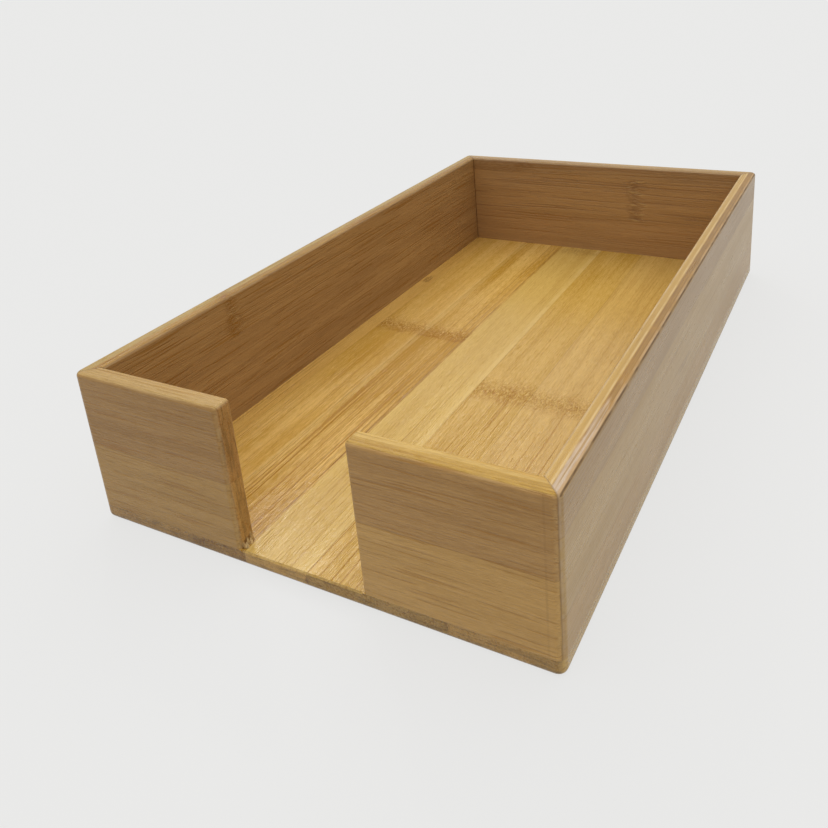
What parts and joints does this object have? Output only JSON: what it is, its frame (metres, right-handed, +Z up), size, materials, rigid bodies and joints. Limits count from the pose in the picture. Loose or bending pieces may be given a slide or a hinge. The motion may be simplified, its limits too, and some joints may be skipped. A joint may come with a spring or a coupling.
{
  "type": "napkin tray",
  "caption": "Open-topped bamboo tray for folded guest napkins, with mitred walls of edge-glued slats and a finger notch cut down to the floor at the front.",
  "frame": {"origin": "middle of the underside, on the surface the tray stands on", "axes": "+Z up, +Y from the notched front to the back wall along the tray's length, +X to the right seen from the front"},
  "size_m": [0.13, 0.223, 0.0435],
  "materials": {
    "bamboo_floor": "clear satin lacquer on pale golden bamboo, grain front to back",
    "bamboo_wall": "clear satin lacquer on golden brown bamboo, grain along the wall",
    "bamboo_front": "clear satin lacquer on golden brown bamboo, grain from side to side"
  },
  "bodies": {
    "root": {"floor_slat_1": "bamboo_floor", "floor_slat_2": "bamboo_floor", "floor_slat_3": "bamboo_floor", "floor_slat_4": "bamboo_floor", "floor_slat_5": "bamboo_floor", "floor_slat_6": "bamboo_floor", "floor_slat_7": "bamboo_floor", "floor_slat_8": "bamboo_floor", "left_wall_bottom_slat": "bamboo_wall", "left_wall_middle_slat": "bamboo_wall", "left_wall_top_slat": "bamboo_wall", "right_wall_bottom_slat": "bamboo_wall", "right_wall_middle_slat": "bamboo_wall", "right_wall_top_slat": "bamboo_wall", "back_wall_bottom_slat": "bamboo_wall", "back_wall_middle_slat": "bamboo_wall", "back_wall_top_slat": "bamboo_wall", "front_left_panel_bottom_slat": "bamboo_front", "front_left_panel_top_slat": "bamboo_front", "front_right_panel_bottom_slat": "bamboo_front", "front_right_panel_top_slat": "bamboo_front"}
  },
  "joints": []
}
